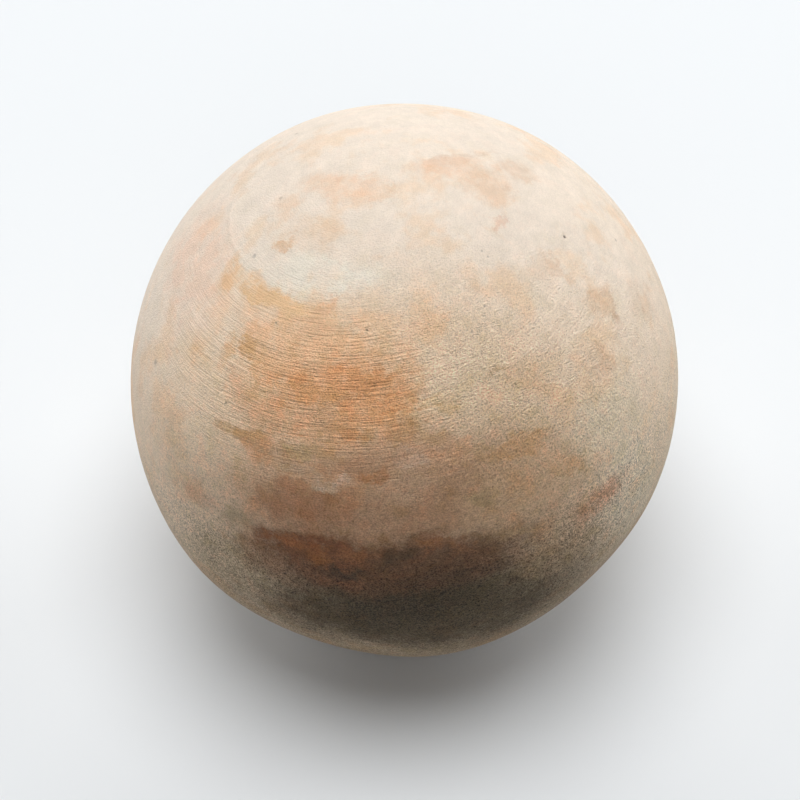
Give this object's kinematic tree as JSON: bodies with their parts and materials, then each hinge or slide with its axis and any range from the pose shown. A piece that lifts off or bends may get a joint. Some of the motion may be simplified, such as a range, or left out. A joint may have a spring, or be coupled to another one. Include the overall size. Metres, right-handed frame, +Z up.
{
  "type": "croquet ball",
  "caption": "Solid wooden ball turned from one block, slightly out of round, struck along the ground with a mallet and run through hoops",
  "frame": {"origin": "the point where the ball touches the ground; the ball's centre is 46 mm above it", "axes": "+Z up, through the centre of the ball as it lies, with the lathe's turning axis leaning 8 degrees from it towards -X; -Y is the front; +X is to the right seen from the front"},
  "size_m": [0.0917, 0.0921, 0.092],
  "materials": {
    "wood": "bare, lathe-turned, matte, stained in patches"
  },
  "bodies": {
    "root": {"turned_ball": "wood"}
  },
  "joints": []
}
